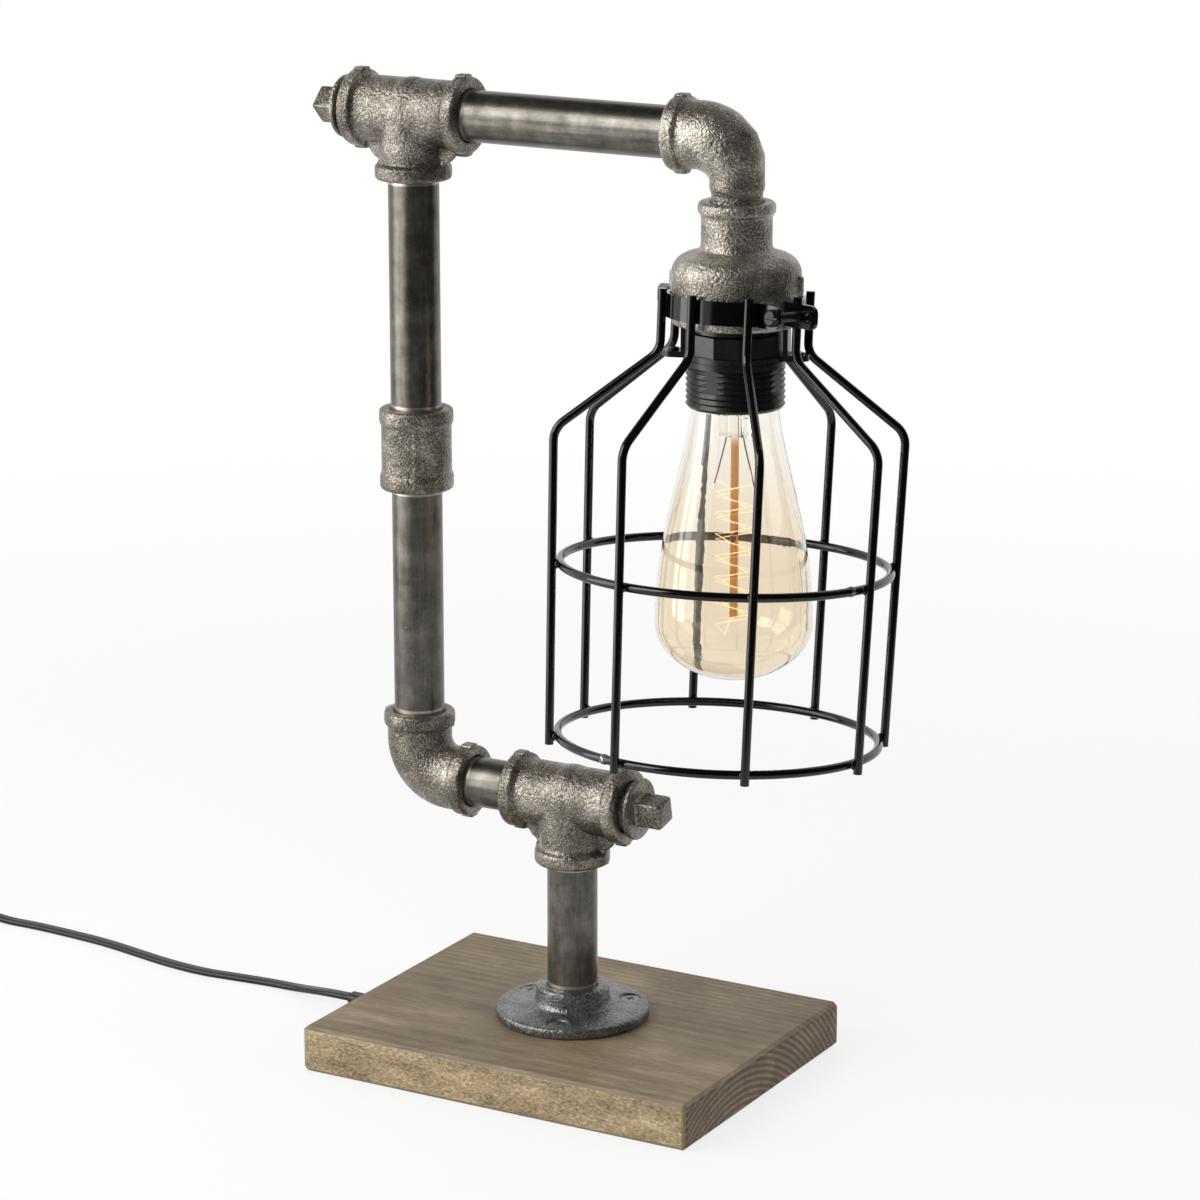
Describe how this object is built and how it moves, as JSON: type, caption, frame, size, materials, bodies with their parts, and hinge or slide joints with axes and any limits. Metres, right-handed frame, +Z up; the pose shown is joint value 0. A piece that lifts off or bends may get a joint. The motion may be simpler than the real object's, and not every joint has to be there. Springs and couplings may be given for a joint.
{
  "type": "table lamp",
  "caption": "Table lamp of threaded iron pipe fittings on a wooden board, with a wire cage round a pear-shaped filament bulb and a flex with an inline switch and plug.",
  "frame": {"origin": "centre of the board's underside, on the surface that the lamp stands on", "axes": "+Z up, +X along the arm towards the head, +Y away from the long side that the picture shows"},
  "size_m": [0.6407, 0.1523, 0.4171],
  "materials": {
    "pine": "stained, satin",
    "hardboard": "raw",
    "cast_iron": "sand-cast, sparkling",
    "flange_iron": "blackened, glossy",
    "pipe_steel": "dark mill scale, satin",
    "steel": "zinc plated",
    "black_enamel": "gloss black",
    "black_plastic": "semi-matte black",
    "ceramic": "white ceramic",
    "brass": "bright",
    "bulb_cap_metal": "bright",
    "clear_glass": "clear",
    "stem_glass": "amber",
    "dark_glass": "black glass",
    "wire": "drawn wire",
    "flex_black": "satin black",
    "switch_black": "satin black"
  },
  "bodies": {
    "base": {"base_board": "pine", "bottom_cover": "hardboard", "floor_flange": "flange_iron", "flange_screws": "steel", "cover_screws": "steel", "cord_clamp": "black_plastic", "clamp_screws": "steel", "riser_pipe": "pipe_steel", "lower_nipple": "pipe_steel", "lower_post_pipe": "pipe_steel", "upper_post_pipe": "pipe_steel", "lower_tee": "cast_iron", "lower_plug": "cast_iron", "lower_elbow": "cast_iron", "post_coupling": "cast_iron", "flex_lower": "flex_black", "flex_entry": "flex_black", "strain_relief": "switch_black", "flex_free": "flex_black", "flex_coil": "flex_black", "cord_tie": "switch_black", "switch_lower": "switch_black", "switch_upper": "switch_black", "switch_contacts": "brass", "plug_body": "switch_black", "plug_pins": "brass"},
    "arm": {"upper_tee": "cast_iron", "upper_plug": "cast_iron", "arm_pipe": "pipe_steel", "flex_arm": "flex_black"},
    "head": {"street_elbow": "cast_iron", "bell_reducer": "cast_iron", "clamp_front": "black_enamel", "clamp_back": "black_enamel", "strap_screws": "black_enamel", "strap_nuts": "black_enamel", "cage_wires": "black_enamel", "middle_ring": "black_enamel", "bottom_ring": "black_enamel", "ledge_washer": "steel", "nipple_nut": "steel", "holder_nipple": "steel", "holder_cap": "black_plastic", "holder_bracket": "black_plastic", "holder_body": "black_plastic", "holder_insert": "ceramic", "shell_contact": "brass", "centre_contact": "brass", "terminal_screws": "brass", "flex_head": "flex_black"},
    "bulb": {"bulb_glass": "clear_glass", "bulb_cap": "bulb_cap_metal", "bulb_insulator": "dark_glass", "bulb_tip": "steel", "bulb_stem": "stem_glass", "bulb_leads": "wire", "bulb_filament": "wire"},
    "rocker": {"switch_rocker": "switch_black"}
  },
  "joints": [
    {"name": "arm_swing", "type": "hinge", "parent": "base", "child": "arm", "pos_m": [-0.075, 0, 0.4002], "axis": [0, 0, 1], "range_deg": [-90, 90]},
    {"name": "head_tilt", "type": "hinge", "parent": "arm", "child": "head", "pos_m": [0.0756, 0, 0.4002], "axis": [1, 0, 0], "range_deg": [-90, 90]},
    {"name": "bulb_slide", "type": "slide", "parent": "head", "child": "bulb", "axis": [0, 0, -1], "range_m": [0, 0.03]},
    {"name": "switch_rocker_turn", "type": "hinge", "parent": "base", "child": "rocker", "pos_m": [-0.383, 0.0176, 0.009], "axis": [0, 1, 0], "range_deg": [0, 16]}
  ]
}
